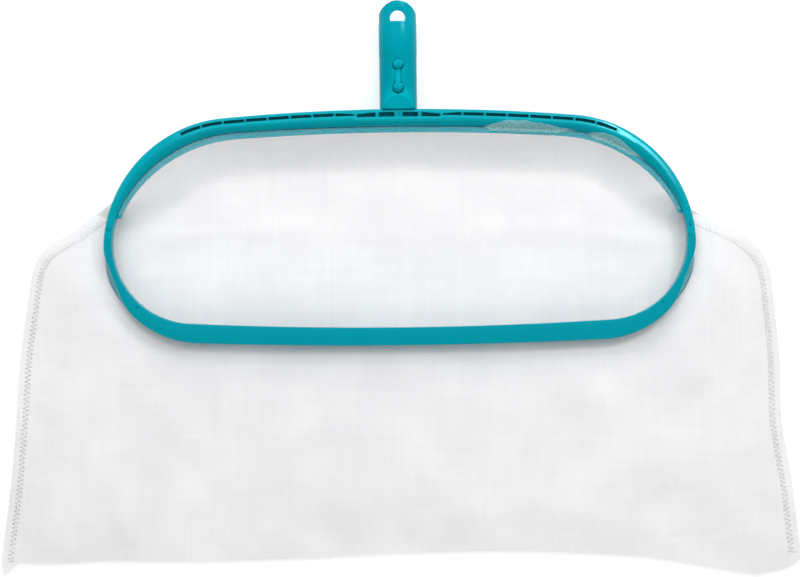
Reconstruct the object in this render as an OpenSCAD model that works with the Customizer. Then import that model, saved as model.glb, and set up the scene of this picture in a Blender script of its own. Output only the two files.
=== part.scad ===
// Leaf skimmer net: a moulded ring on a pole tongue, with a deep mesh bag lying flat behind it.
// It lies on its back: the handle points to +Y and the ring's mouth faces +Z.

/* [Ring outline] */
// Outer edge of the ring below its centre
outer_low = 84.6; // [82:0.1:88]
// Outer edge: radius of the nearly straight lower bar
outer_bar_r = 3700; // [3000:100:4200]
// Outer edge: low corner radius and turn, high corner radius and turn
outer_corners = [71.4, 93.3, 97.1, 79.5]; // [60:0.1:100]
// Inner edge of the rigid band below the ring's centre
band_low = 71.4; // [69:0.1:74]
// Band's inner edge: radius of the lower bar
band_bar_r = 2830; // [2600:10:3000]
// Band's inner edge: low corner radius and turn, high corner radius and turn
band_corners = [59.5, 117.2, 103.9, 56.2]; // [50:0.1:120]
// Inner edge of the net strip below the ring's centre
inner_low = 71.2; // [69:0.1:74]
// Strip's inner edge: radius of the lower bar
inner_bar_r = 2600; // [2400:10:2800]
// Strip's inner edge: low corner radius and turn, high corner radius and turn
inner_corners = [56.4, 118.2, 104.1, 54.6]; // [50:0.1:120]
// Half length of the lower bar, up to where its corners begin, at the outer, band's and strip's edge
bar_half = [149.8, 156.1, 157.3]; // [140:0.1:165]

/* [Ring section] */
// Height of the ring's underside
ring_z = 8.5; // [8:0.5:10]
// Height of the lower lip's flat face
lip_z = 19.5; // [18:0.5:21]
// Height of the bow's outer rim
rim_z = 20.5; // [19:0.5:21]
// Height of the bow's raised band
band_z = 21; // [20:0.5:22]
// Thickness of the bow's outer rim
rim_w = 2.2; // [1.6:0.1:3]
// Width of the long row of slots
slot_w = 2.2; // [1.8:0.1:3]
// Width of the slots beside the handle
wide_slot_w = 3.4; // [2.4:0.1:4]
// Depth of the slots
slot_deep = 10; // [4:0.5:11]
// Distance between ribs in the row of slots
rib_pitch = 16.5; // [14:0.1:18]
// Thickness of a rib
rib_w = 1.6; // [1:0.1:2.4]

/* [Tongue] */
// Outer diameter of the tongue's plain stretch that fits the pole
tongue_d = 28; // [26:0.1:30]
// How much smaller the radius is at the foot and at the tip
tongue_step = 0.2; // [0.1:0.05:0.4]
// Ends of the plain stretch above the ring's centre
plain_y = [128.5, 152.5]; // [127:0.5:153]
// Wall of the tongue
tongue_wall = 2.4; // [2:0.1:3]
// Tip of the tongue above the ring's centre
tip_y = 168.5; // [165:0.5:175]
// Width of the slot along the tongue's back
back_slot_w = 12; // [8:0.5:14]
// Radius of the round part of the hanging hole
hang_r = 5.6; // [4:0.1:6]
// Flat edge of the hanging hole above the ring's centre
hang_y = 153.4; // [150:0.1:156]

/* [Spring clip] */
// Upper and lower button above the ring's centre
button_y = [121.7, 104.7]; // [100:0.1:130]
// Radius of a button
button_r = 3.5; // [3:0.1:3.6]
// How far the upper and the lower button stand out of the tongue
button_out = [1.6, 2.8]; // [1:0.1:3]
// Width of the clip's arm
arm_w = 8; // [7:0.5:8.5]
// Thickness of the clip's strip
clip_t = 1.5; // [1:0.1:1.6]

/* [Bag] */
// Thickness of a mesh panel's solid
mesh_t = 1; // [0.8:0.1:1.2]
// Underside of the front panel over the pocket
pocket_z = 7; // [6:0.5:7.4]
// Underside of the front panel near the seams
edge_z = 2.5; // [2:0.1:3]
// Width of the seam allowance
seam_w = 7; // [5:0.5:8]
// Distance between stitches
stitch_pitch = 6; // [5:0.5:10]

/* [Hidden] */
$fn = 64;
teal = "#00a3b8";
white = "#f1f1f3";
big = 1000;
arc_step = 5;
chord_max = 12;

// Bag's edge right of the middle: shoulder, side seam and bottom fold
shoulder = [[216, 16], [230, 7], [258, -9], [270, -30]];
side_edge = [[270, -30], [281, -130], [293, -240]];
bottom_edge = [[293, -240], [284, -251], [230, -248], [140, -243], [0, -241]];
bag_low = 251;
// Where the front panel stops being flat, and where it has come down to the seams
flat_x = 236;
seam_x = 258;
flat_y = 190;
seam_y = 236;
// The ring's centre is placed so that the whole part is centred on the origin
ring_y = (bag_low - tip_y) / 2;

// Slots right of the middle: the two wide ones, the short first one, then the even row
slot_ends = concat([[3, 14.4], [17, 30.5], [33, 46.4]],
                   [for (i = [0:6]) [48 + rib_pitch * i, 48 + rib_pitch * (i + 1) - rib_w]]);
wide_slots = 2;

// Bow and lip overlap at the sides between these heights above the ring's centre
lap_low = -4;
lap_high = 10;
lap_z = 13;
lap_gap = 0.1;
pin_at = [214.4, 3.4];
pin_r = 1.1;
pin_play = 0.05;

// Where the lip's bar meets its corners
lip_bar_x = 146;

// Groove for the net strips in the lip's underside, measured out from the band's inner edge
groove_in = 1;
groove_out = 4.6;
groove_top = 12;
strip_in = 1.2;
strip_out = 3.6;
strip_top = 11.4;
strip_bottom = 9;
low_strip_x = 194;
end_gap = 1.5;
hem_out = 4.4;
hem_in = 3.7;

// Net strip of the bow
bow_strip_bottom = 9;
bow_strip_top = 16;
bow_strip_low = 11;
hem_t = 0.6;

// Tongue and clip
tongue_r = tongue_d / 2;
tongue_bore_r = tongue_r - tongue_wall;
tongue_y = 89.6;
tongue_root = 7.6;
tip_r = 15;
slope_top = 99.6;
slope_drop = 6;
slope_run = 9.8;
button_gap = 0.65;
button_shift = 0.3;
rib_thick = 4;
rib_gap = 0.35;
clip_pivot_y = 141;
arm_top = tongue_r + tongue_bore_r - 1.2;
leg_bottom = 5.5;
bend_r = (arm_top - leg_bottom) / 2;
bend_z = leg_bottom + bend_r;
arm_end = 98.2;
arm_gap = 0.3;
leg_end = 100;
leg_w = 15;

function shift(points, by) = [for (p = points) p + by];
function back(points) = [for (i = [len(points) - 1:-1:0]) points[i]];
function flip_x(points) = [for (p = points) [-p[0], p[1]]];

// Point on an arc of radius r whose centre is c, where its heading is h
function on_arc(c, r, h) = c + r * [sin(h), -cos(h)];

// Walks along tangent arcs, each [radius, turn], from point p with heading h
function walk(p, h, arcs, i = 0) =
    i == len(arcs) ? [p] :
    let (r = arcs[i][0], turn = arcs[i][1], c = p - r * [sin(h), -cos(h)],
         n = ceil(max(turn / arc_step, r * turn * PI / 180 / chord_max)))
    concat([for (k = [0:n - 1]) on_arc(c, r, h + turn * k / n)],
           walk(on_arc(c, r, h + turn), h + turn, arcs, i + 1));

// Closed outline of four tangent arcs on each side, moved outwards by grow
function outline(low, bar_r, bar, corners, grow = 0) =
    let (bar_turn = asin(bar / bar_r),
         arcs = [[bar_r, bar_turn], [corners[0], corners[1]], [corners[2], corners[3]]],
         half = walk([0, -low], 0, arcs),
         turned = bar_turn + corners[1] + corners[3],
         last = half[len(half) - 1],
         all_arcs = concat(arcs, [[last[0] / sin(180 - turned), 180 - turned]]),
         grown = [for (a = all_arcs) [a[0] + grow, a[1]]],
         right = walk([0, -low - grow], 0, grown))
    concat(right, [for (i = [len(right) - 2:-1:1]) [-right[i][0], right[i][1]]]);

module outer(grow = 0) {
    polygon(outline(outer_low, outer_bar_r, bar_half[0], outer_corners, grow));
}

module band_edge(grow = 0) {
    polygon(outline(band_low, band_bar_r, bar_half[1], band_corners, grow));
}

module inner(grow = 0) {
    polygon(outline(inner_low, inner_bar_r, bar_half[2], inner_corners, grow));
}

// Everything above or below a height y
module above(y) {
    translate([-big / 2, y]) square([big, big]);
}

module below(y) {
    translate([-big / 2, y - big]) square([big, big]);
}

// Solid between two heights over the 2D shape given
module layer(low, high) {
    translate([0, ring_y, low]) linear_extrude(high - low) children();
}

// The slots between rim and band
module slots() {
    for (i = [0:len(slot_ends) - 1], side = [-1, 1]) {
        w = i < wide_slots ? wide_slot_w : slot_w;
        x0 = side > 0 ? slot_ends[i][0] : -slot_ends[i][1];
        intersection() {
            difference() {
                outer(-rim_w);
                outer(-rim_w - w);
            }
            translate([x0, 0]) square([slot_ends[i][1] - slot_ends[i][0], big]);
        }
    }
}

module pin_holes() {
    for (side = [-1, 1])
        translate([side * pin_at[0], ring_y + pin_at[1], 0]) cylinder(r = pin_r + pin_play, h = 30);
}

module upper_bow() color(teal) {
    difference() {
        union() {
            layer(lap_z + lap_gap, rim_z) intersection() {
                difference() {
                    outer();
                    band_edge();
                }
                above(lap_low);
            }
            layer(ring_z, lap_z + lap_gap) intersection() {
                difference() {
                    outer();
                    band_edge();
                }
                above(lap_high);
            }
            layer(rim_z, band_z) intersection() {
                difference() {
                    outer(-rim_w - slot_w);
                    band_edge(1);
                }
                above(60);
            }
        }
        layer(rim_z - slot_deep, band_z + 1) slots();
        pin_holes();
    }
}

// The lip is one moulding: its straight bar and its two corners are separate nodes
module whole_lip() {
    difference() {
        union() {
            layer(ring_z, lip_z) intersection() {
                difference() {
                    outer();
                    band_edge();
                }
                below(lap_low - lap_gap);
            }
            layer(ring_z, lap_z) intersection() {
                difference() {
                    outer();
                    band_edge();
                }
                below(lap_high - lap_gap);
                above(lap_low - 1);
            }
        }
        layer(ring_z - 1, groove_top) intersection() {
            difference() {
                band_edge(groove_out);
                band_edge(groove_in);
            }
            below(lap_low - 2);
        }
        pin_holes();
    }
}

module lower_lip() color(teal) intersection() {
    whole_lip();
    translate([-lip_bar_x, -big / 2, 0]) cube([2 * lip_bar_x, big, 40]);
}

module lip_corner(side) intersection() {
    whole_lip();
    translate([side > 0 ? lip_bar_x : -lip_bar_x - big, -big / 2, 0]) cube([big, big, 40]);
}

module left_lip_corner() color(teal) lip_corner(-1);

module right_lip_corner() color(teal) lip_corner(1);

module joint_pin(side) {
    translate([side * pin_at[0], ring_y + pin_at[1], ring_z + 0.5])
        cylinder(r = pin_r, h = rim_z - ring_z - 0.6);
}

module left_joint_pin() color(teal) joint_pin(-1);

module right_joint_pin() color(teal) joint_pin(1);

module pole_tongue() color(teal) {
    translate([0, ring_y, 0]) difference() {
        intersection() {
            union() {
                tongue_bar(tongue_y, plain_y[0], tongue_r - tongue_step);
                tongue_bar(plain_y[0], plain_y[1], tongue_r);
                tongue_bar(plain_y[1], tip_y, tongue_r - tongue_step);
            }
            translate([0, 0, -1]) linear_extrude(tongue_d + 2) union() {
                translate([0, tip_y - tip_r]) circle(tip_r);
                translate([-tongue_r - 1, tongue_y]) square([tongue_d + 2, tip_y - tip_r - tongue_y]);
            }
        }
        translate([0, tongue_y + tongue_root, tongue_r]) rotate([-90, 0, 0])
            cylinder(r = tongue_bore_r, h = 90);
        translate([-back_slot_w / 2, tongue_y + tongue_root, -1]) cube([back_slot_w, 90, tongue_r]);
        hanging_hole();
        button_hole();
        base_slope();
    }
}

// Round bar along the tongue's axis
module tongue_bar(from, to, radius) {
    translate([0, from, tongue_r]) rotate([-90, 0, 0]) cylinder(r = radius, h = to - from);
}

module hanging_hole() {
    translate([0, 0, tongue_r]) linear_extrude(tongue_r + 1) intersection() {
        translate([0, hang_y + 2.2]) circle(hang_r);
        above(hang_y);
    }
}

// One opening for both buttons and the rib between them, with more room on the buttons' ring side
module button_hole() {
    slot_w = rib_thick + 2 * rib_gap;
    for (y = button_y)
        translate([0, y - button_shift, tongue_r]) cylinder(r = button_r + button_gap, h = tongue_r + 1);
    translate([-slot_w / 2, button_y[1], tongue_r])
        cube([slot_w, button_y[0] - button_y[1], tongue_r + 1]);
}

// Takes the top of the tongue down to the height of the bow
module base_slope() {
    translate([-big / 2, 0, 0]) rotate([90, 0, 90]) linear_extrude(big)
        polygon([[slope_top, tongue_d], [slope_top + 1, tongue_d + 2], [tongue_y - 2, tongue_d + 2],
                 [tongue_y - 2, tongue_d - slope_drop * (slope_top - tongue_y + 2) / slope_run]]);
}

// The clip's fixed leg on the back wall and the round bend near the tip
module spring_clip() color(teal) {
    translate([0, ring_y, 0]) {
        translate([-leg_w / 2, leg_end, leg_bottom])
            cube([leg_w, clip_pivot_y - leg_end, clip_t]);
        translate([-arm_w / 2, clip_pivot_y, bend_z]) rotate([90, 0, 90]) linear_extrude(arm_w)
            intersection() {
                difference() {
                    circle(bend_r);
                    circle(bend_r - clip_t);
                }
                translate([0, -big / 2]) square([big, big]);
            }
    }
}

// The leg that bends down when the buttons are pressed, with the rib between them
module clip_arm() color(teal) {
    rib_foot = arm_top - 0.1;
    hinge_r = clip_t / 2;
    hinge_y = clip_pivot_y - arm_gap - hinge_r;
    translate([-arm_w / 2, ring_y + arm_end, arm_top - clip_t])
        cube([arm_w, hinge_y - arm_end, clip_t]);
    translate([-arm_w / 2, ring_y + hinge_y, arm_top - hinge_r])
        rotate([0, 90, 0]) cylinder(r = hinge_r, h = arm_w);
    translate([-rib_thick / 2, ring_y, 0]) rotate([90, 0, 90]) linear_extrude(rib_thick)
        polygon([[button_y[1] + button_r + 0.05, rib_foot], [button_y[0] - button_r - 0.05, rib_foot],
                 [button_y[0] - button_r - 0.05, tongue_d - 1.2],
                 [button_y[1] + button_r + 0.05, tongue_d + 0.6]]);
}

// A round button whose top is a ramp that climbs towards the ring
module button(i) {
    top = tongue_d + button_out[i];
    ramp = 2.2;
    translate([0, ring_y + button_y[i], 0]) intersection() {
        translate([0, 0, arm_top]) cylinder(r = button_r, h = 10);
        translate([-10, 0, 0]) rotate([90, 0, 90]) linear_extrude(20)
            polygon([[-10, 0], [10, 0], [10, top - ramp * 2.4], [button_r, top - ramp],
                     [-button_r + 1.2, top], [-button_r, top - 0.5], [-10, top - 3]]);
    }
}

module upper_button() color(teal) button(0);

module lower_button() color(teal) button(1);

// The ledge inside the bow that the mesh is wrapped round
module upper_net_strip() color(teal)
    layer(bow_strip_bottom, bow_strip_top) intersection() {
        difference() {
            band_edge(-0.15);
            inner();
        }
        above(bow_strip_low);
    }

module groove_strip() {
    layer(strip_bottom, strip_top) intersection() {
        difference() {
            band_edge(strip_out);
            band_edge(strip_in);
        }
        children();
    }
}

module lower_net_strip() color(teal)
    groove_strip() translate([-low_strip_x, -big]) square([2 * low_strip_x, big]);

// Strip beside the mouth, from the end of the lower strip to the joint
module side_strip(side) {
    x = low_strip_x + end_gap;
    groove_strip() translate([side > 0 ? x : -x - big, lap_low - 3 - big]) square([big, big]);
}

module left_net_strip() color(teal) side_strip(-1);

module right_net_strip() color(teal) side_strip(1);

module bag_area() {
    right = concat(shoulder, side_edge, bottom_edge);
    polygon(concat(right, back(flip_x(right))));
}

module net_back_panel() color(white) {
    layer(0, mesh_t) union() {
        bag_area();
        intersection() {
            inner(-0.3);
            above(0);
        }
    }
    layer(mesh_t, bow_strip_top) intersection() {
        difference() {
            inner(-0.3);
            inner(-0.3 - mesh_t);
        }
        above(bow_strip_low);
    }
    // the fold along the bottom that joins the two panels
    layer(mesh_t, edge_z + mesh_t) for (side = [-1, 1]) {
        fold = [for (p = bottom_edge) [side * p[0], p[1]]];
        polygon(concat(fold, back(shift(fold, [0, mesh_t]))));
    }
}

// Space under a surface at height z over the pocket that falls to edge_z near the seams
module under_front(lift) {
    low = edge_z + lift;
    high = pocket_z + lift;
    translate([0, ring_y, 0]) intersection() {
        translate([0, big / 2, 0]) rotate([90, 0, 0]) linear_extrude(big)
            polygon([[-big, 0], [big, 0], [big, low], [seam_x, low], [flat_x, high],
                     [-flat_x, high], [-seam_x, low], [-big, low]]);
        translate([-big / 2, 0, 0]) rotate([90, 0, 90]) linear_extrude(big)
            polygon([[big, 0], [big, high], [-flat_y, high], [-seam_y, low], [-big, low], [-big, 0]]);
    }
}

// Where the front cloth lies: the bag outside the ring, short of the bottom fold
module front_area() {
    difference() {
        bag_area();
        band_edge(strip_out);
        above(16);
        for (side = [-1, 1]) {
            fold = [for (p = bottom_edge) [side * p[0], p[1]]];
            polygon(concat(shift(fold, [0, -5]), back(shift(fold, [0, mesh_t + 0.1]))));
        }
    }
}

module front_sheet() {
    difference() {
        intersection() {
            under_front(mesh_t);
            layer(mesh_t, 20) front_area();
        }
        under_front(0);
    }
}

// The front cloth in pieces: flat over the pocket, three that slope to its edges, and the two shoulders
module net_front_panel() color(white) intersection() {
    front_sheet();
    translate([-flat_x, ring_y - flat_y, 0]) cube([2 * flat_x, big, 20]);
}

module side_border(side) intersection() {
    front_sheet();
    translate([side > 0 ? flat_x : -flat_x - big, ring_y - flat_y, 0]) cube([big, big, 20]);
}

module net_left_border() color(white) side_border(-1);

module net_right_border() color(white) side_border(1);

module net_bottom_border() color(white) intersection() {
    front_sheet();
    translate([-big / 2, ring_y - flat_y - big, 0]) cube([big, big, 20]);
}

// Closes the bag between its panels along a shoulder
module shoulder_wall(side) intersection() {
    under_front(0);
    layer(mesh_t, 20) intersection() {
        front_area();
        edge = [for (p = shoulder) [side * p[0], p[1]]];
        polygon(concat(edge, back(shift(edge, [-side, -1]))));
    }
}

module net_left_shoulder() color(white) shoulder_wall(-1);

module net_right_shoulder() color(white) shoulder_wall(1);

// Mesh over the top of the bow's strip
module upper_hem() color(white)
    layer(bow_strip_top + 0.05, bow_strip_top + 0.05 + hem_t) intersection() {
        difference() {
            band_edge(-0.2);
            inner(-0.3 - mesh_t);
        }
        above(bow_strip_low);
    }

// Mesh that goes from the front panel up round the strips in the lip's groove
module lower_hem() color(white) {
    layer(strip_top + 0.05, groove_top - 0.05) intersection() {
        difference() {
            band_edge(hem_out);
            band_edge(strip_in);
        }
        below(lap_low - 3);
    }
    layer(pocket_z + mesh_t + 0.05, strip_top + 0.05) intersection() {
        difference() {
            band_edge(hem_out);
            band_edge(hem_in);
        }
        below(lap_low - 3);
    }
}

module seam_allowance(side)
    layer(mesh_t + 0.05, mesh_t + 0.65) {
        edge = [for (y = [-34, -130, -236]) [side * (edge_x(y) - 0.5), y]];
        polygon(concat(edge, back(shift(edge, [-side * seam_w, 0]))));
    }

module left_seam_allowance() color(white) seam_allowance(-1);

module right_seam_allowance() color(white) seam_allowance(1);

// The bag's side edge at height y
function edge_x(y) = lookup(y, [for (p = back(side_edge)) [p[1], p[0]]]);

module seam_stitching(side) {
    thread_r = 0.3;
    stitch_l = 4;
    for (y = [-235:stitch_pitch:-36])
        translate([side * (edge_x(y) - seam_w), ring_y + y, mesh_t + 0.7 + thread_r])
            rotate([0, 90, 12]) cylinder(r = thread_r, h = stitch_l, center = true, $fn = 16);
}

module left_seam_stitching() color("white") seam_stitching(-1);

module right_seam_stitching() color("white") seam_stitching(1);

upper_bow();
lower_lip();
left_lip_corner();
right_lip_corner();
left_joint_pin();
right_joint_pin();
pole_tongue();
spring_clip();
clip_arm();
upper_button();
lower_button();
upper_net_strip();
lower_net_strip();
left_net_strip();
right_net_strip();
net_back_panel();
net_front_panel();
net_left_border();
net_right_border();
net_bottom_border();
net_left_shoulder();
net_right_shoulder();
upper_hem();
lower_hem();
left_seam_allowance();
right_seam_allowance();
left_seam_stitching();
right_seam_stitching();
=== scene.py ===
import math

import bmesh
import bpy
import numpy as np
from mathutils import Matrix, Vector, geometry, noise


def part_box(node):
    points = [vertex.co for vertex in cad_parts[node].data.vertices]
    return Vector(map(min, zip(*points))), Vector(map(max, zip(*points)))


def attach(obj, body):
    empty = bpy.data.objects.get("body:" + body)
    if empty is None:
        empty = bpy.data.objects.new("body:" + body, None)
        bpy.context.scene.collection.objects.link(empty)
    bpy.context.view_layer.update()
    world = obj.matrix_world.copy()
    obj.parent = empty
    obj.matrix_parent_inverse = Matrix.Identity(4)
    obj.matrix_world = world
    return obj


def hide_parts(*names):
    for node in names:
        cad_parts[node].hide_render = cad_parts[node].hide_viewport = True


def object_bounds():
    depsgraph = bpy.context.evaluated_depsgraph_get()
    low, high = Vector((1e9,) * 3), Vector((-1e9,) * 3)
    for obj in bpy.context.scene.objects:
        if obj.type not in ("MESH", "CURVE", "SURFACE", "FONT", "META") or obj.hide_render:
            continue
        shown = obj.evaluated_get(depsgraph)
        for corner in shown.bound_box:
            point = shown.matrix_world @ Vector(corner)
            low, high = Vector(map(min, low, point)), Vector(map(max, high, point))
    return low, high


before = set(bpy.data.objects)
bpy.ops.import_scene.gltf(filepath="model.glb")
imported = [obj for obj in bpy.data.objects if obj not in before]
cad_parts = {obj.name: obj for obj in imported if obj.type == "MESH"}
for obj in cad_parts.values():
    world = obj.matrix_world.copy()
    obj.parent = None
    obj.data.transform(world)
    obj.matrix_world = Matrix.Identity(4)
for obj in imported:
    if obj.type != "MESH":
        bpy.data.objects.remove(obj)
cadSize = [list(corner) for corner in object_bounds()]
mm = 0.001

# Straight down on the net, which lies a touch turned on the table
view = {"lens": 100, "height": 1.656, "aim": (-0.0002, -0.0015), "turn": -0.6}


def addCamera():
    lens = bpy.data.cameras.new("camera")
    lens.lens = view["lens"]
    lens.sensor_width = 36
    eye = bpy.data.objects.new("camera", lens)
    eye.location = (*view["aim"], view["height"])
    eye.rotation_euler = (0, 0, math.radians(view["turn"]))
    bpy.context.scene.collection.objects.link(eye)
    bpy.context.scene.camera = eye


addCamera()
print("camera in place")

# Outlines of the ring in millimetres from its own centre, as tangent arcs:
# a nearly straight bar below, then two corner arcs (radius, turn) on each side
ring = {
    "outer": {"low": 84.6, "barR": 3700, "bar": 149.8, "corners": ((71.4, 93.3), (97.1, 79.5))},
    "band": {"low": 71.4, "barR": 2830, "bar": 156.1, "corners": ((59.5, 117.2), (103.9, 56.2))},
    "mouth": {"low": 71.2, "barR": 2600, "bar": 157.3, "corners": ((56.4, 118.2), (104.1, 54.6))},
    "step": 1.6,
    "under": 8.5,
    "lapLow": -4.0,
    "lapHigh": 10.0,
    "lapZ": 13.0,
    "lapGap": 0.1,
    "pin": (214.4, 3.4),
    "pinR": 1.4,
}
tongueTip = 168.5  # above the ring's centre
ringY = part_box("pole_tongue")[1].y / mm - tongueTip


def smooth(low, high, value):
    t = min(1.0, max(0.0, (value - low) / (high - low)))
    return t * t * (3 - 2 * t)


def outline(edge, grow=0.0):
    # (x, y, heading) all the way round, anticlockwise from the middle of the lower bar
    barTurn = math.asin(edge["bar"] / edge["barR"])
    arcs = [(edge["barR"], barTurn)] + [(r, math.radians(turn)) for r, turn in edge["corners"]]
    x, y, heading = 0.0, -edge["low"], 0.0
    for r, turn in arcs:
        x += r * (math.sin(heading + turn) - math.sin(heading))
        heading += turn
    arcs.append((x / math.sin(math.pi - heading), math.pi - heading))
    half, x, y, heading = [], 0.0, -edge["low"] - grow, 0.0
    for r, turn in arcs:
        r += grow
        count = max(2, math.ceil(r * turn / ring["step"]))
        for k in range(count):
            h = heading + turn * k / count
            half.append((x + r * (math.sin(h) - math.sin(heading)),
                         y - r * (math.cos(h) - math.cos(heading)), h))
        x += r * (math.sin(heading + turn) - math.sin(heading))
        y -= r * (math.cos(heading + turn) - math.cos(heading))
        heading += turn
    half.append((0.0, y, math.pi))
    mirrored = [(-px, py, 2 * math.pi - h) for px, py, h in reversed(half[1:-1])]
    return half + mirrored


def widthTo(station, line):
    # distance from a station straight inwards to another outline
    x, y, h = station
    inward = np.array([-math.sin(h), math.cos(h)])
    a = line - (x, y)
    d = np.roll(line, -1, axis=0) - line
    cross = inward[0] * d[:, 1] - inward[1] * d[:, 0]
    cross[np.abs(cross) < 1e-9] = 1e-9
    along = (a[:, 0] * d[:, 1] - a[:, 1] * d[:, 0]) / cross
    share = (a[:, 0] * inward[1] - a[:, 1] * inward[0]) / cross
    hit = along[(share >= 0) & (share <= 1) & (along > 0)]
    return float(hit.min())


def place(x, y, z):
    return (x * mm, (y + ringY) * mm, z * mm)


def addPiece(name, vertices, faces, material, body="net_frame", sharpAt=35):
    mesh = bpy.data.meshes.new(name)
    mesh.from_pydata(vertices, [], faces)
    work = bmesh.new()
    work.from_mesh(mesh)
    bmesh.ops.recalc_face_normals(work, faces=work.faces)
    work.to_mesh(mesh)
    work.free()
    for face in mesh.polygons:
        face.use_smooth = True
    mesh.set_sharp_from_angle(angle=math.radians(sharpAt))
    piece = bpy.data.objects.new(name, mesh)
    bpy.context.scene.collection.objects.link(piece)
    mesh.materials.append(material)
    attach(piece, body)
    return piece


def sweep(name, sections, material, closed=True, ends=True, body="net_frame"):
    # sections: equal-length lists of points, one list for each station
    count = len(sections[0])
    vertices = [p for section in sections for p in section]
    faces = []
    for s in range(len(sections) - 1):
        for k in range(count if closed else count - 1):
            nextK = (k + 1) % count
            faces.append((s * count + k, s * count + nextK,
                          (s + 1) * count + nextK, (s + 1) * count + k))
    if ends:
        last = (len(sections) - 1) * count
        faces.append(tuple(range(count)))
        faces.append(tuple(last + k for k in reversed(range(count))))
    return addPiece(name, vertices, faces, material, body)


def applyModifiers(piece):
    graph = bpy.context.evaluated_depsgraph_get()
    made = bpy.data.meshes.new_from_object(piece.evaluated_get(graph))
    piece.modifiers.clear()
    piece.data = made


def thicken(piece, thickness):
    thick = piece.modifiers.new("thickness", "SOLIDIFY")
    thick.thickness = thickness * mm
    thick.offset = 0
    applyModifiers(piece)
    piece.data.set_sharp_from_angle(angle=math.radians(50))


def cutHoles(piece, holes):
    # holes: (x, y, lowest z, highest z, radius)
    work = bmesh.new()
    for x, y, low, high, radius in holes:
        made = bmesh.ops.create_cone(work, cap_ends=True, segments=32, radius1=radius * mm,
                                     radius2=radius * mm, depth=(high - low) * mm)
        bmesh.ops.translate(work, verts=made["verts"], vec=place(x, y, (low + high) / 2))
    mesh = bpy.data.meshes.new("cutter")
    work.to_mesh(mesh)
    work.free()
    cutter = bpy.data.objects.new("cutter", mesh)
    bpy.context.scene.collection.objects.link(cutter)
    cut = piece.modifiers.new("holes", "BOOLEAN")
    cut.operation = "DIFFERENCE"
    cut.solver = "EXACT"
    cut.object = cutter
    applyModifiers(piece)
    bpy.data.objects.remove(cutter)


def linear(code):
    # sRGB hex to the renderer's linear colour
    values = [int(code[i:i + 2], 16) / 255 for i in (1, 3, 5)]
    return tuple(v / 12.92 if v <= 0.04045 else ((v + 0.055) / 1.055) ** 2.4
                 for v in values) + (1.0,)


def addNode(tree, kind, settings=None, links=None):
    # settings: attributes or input values; links: input name or number -> output socket
    node = tree.nodes.new(kind)
    for key, value in (settings or {}).items():
        if isinstance(key, str) and hasattr(node, key):
            setattr(node, key, value)
        else:
            node.inputs[key].default_value = value
    for key, socket in (links or {}).items():
        tree.links.new(socket, node.inputs[key])
    return node


def newMaterial(name):
    material = bpy.data.materials.new(name)
    material.use_nodes = True
    tree = material.node_tree
    tree.nodes.clear()
    shader = addNode(tree, "ShaderNodeBsdfPrincipled")
    addNode(tree, "ShaderNodeOutputMaterial", links={"Surface": shader.outputs[0]})
    return material, tree, shader


# Polypropylene with a teal masterbatch, injection moulded in a lightly grained tool: an even, slightly
# waxy surface with a soft broad highlight, tinted teal, faint flow shading and a few hairline scuffs
polypropylene = {"teal": "#0097A7", "flow": "#0091A1", "scuff": "#18A0AE", "ior": 1.49, "gloss": 0.32,
                 "glossTint": "#8CF4FF", "roughness": 0.24, "flowMm": 40, "grainMm": 0.9, "scuffMm": 14}


def mouldedPolypropylene(name, look):
    material, tree, shader = newMaterial(name)
    shader.inputs["IOR"].default_value = look["ior"]
    shader.inputs["Specular IOR Level"].default_value = look["gloss"]
    shader.inputs["Specular Tint"].default_value = linear(look["glossTint"])
    where = addNode(tree, "ShaderNodeTexCoord").outputs["Object"]
    flow = addNode(tree, "ShaderNodeTexNoise", {"Scale": 1 / (look["flowMm"] * mm), "Detail": 3.0},
                   {"Vector": where})
    tone = addNode(tree, "ShaderNodeMix", {"data_type": "RGBA", 6: linear(look["teal"]),
                                           7: linear(look["flow"])}, {0: flow.outputs[0]})
    if look.get("paintedLight"):
        # a lighter patch at the tongue's foot: painted light that lifts the shade on its sloping
        # foot; a paler patch at the tongue's foot; what makes it paler is not known
        away = addNode(tree, "ShaderNodeVectorMath", {"operation": "DISTANCE", 1: look["paintedLightAt"]},
                       {0: where})
        near, far = look["paintedLightMm"]
        paintedLightMask = addNode(tree, "ShaderNodeMapRange", {"From Min": near * mm, "From Max": far * mm,
                                                     "To Min": 0.8, "To Max": 0.0},
                        {"Value": away.outputs["Value"]})
        tone = addNode(tree, "ShaderNodeMix", {"data_type": "RGBA", 7: linear(look["paintedLight"])},
                       {0: paintedLightMask.outputs[0], 6: tone.outputs[2]})
    # hairline scuffs: thin bright bands of a stretched noise
    stretched = addNode(tree, "ShaderNodeMapping", {"Scale": (1.0, 0.12, 1.0), "Rotation": (0, 0, 0.6)},
                        {"Vector": where})
    hair = addNode(tree, "ShaderNodeTexNoise", {"Scale": 1 / (look["scuffMm"] * mm) * 9, "Detail": 6.0},
                   {"Vector": stretched.outputs[0]})
    rare = addNode(tree, "ShaderNodeMapRange", {"From Min": 0.69, "From Max": 0.74, "To Max": 0.35},
                   {"Value": hair.outputs[0]})
    marked = addNode(tree, "ShaderNodeMix", {"data_type": "RGBA", 7: linear(look["scuff"])},
                     {0: rare.outputs[0], 6: tone.outputs[2]})
    tree.links.new(marked.outputs[2], shader.inputs["Base Color"])
    # tool grain is about 0.1 mm, drawn at 0.9 mm so that it shows
    grain = addNode(tree, "ShaderNodeTexNoise", {"Scale": 1 / (look["grainMm"] * mm), "Detail": 2.0},
                    {"Vector": where})
    gloss = addNode(tree, "ShaderNodeMapRange", {"To Min": look["roughness"] - 0.05,
                                                 "To Max": look["roughness"] + 0.07},
                    {"Value": grain.outputs[0]})
    tree.links.new(gloss.outputs[0], shader.inputs["Roughness"])
    bump = addNode(tree, "ShaderNodeBump", {"Strength": 0.1, "Distance": 0.02 * mm},
                   {"Height": grain.outputs[0]})
    tree.links.new(bump.outputs[0], shader.inputs["Normal"])
    return material


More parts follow.
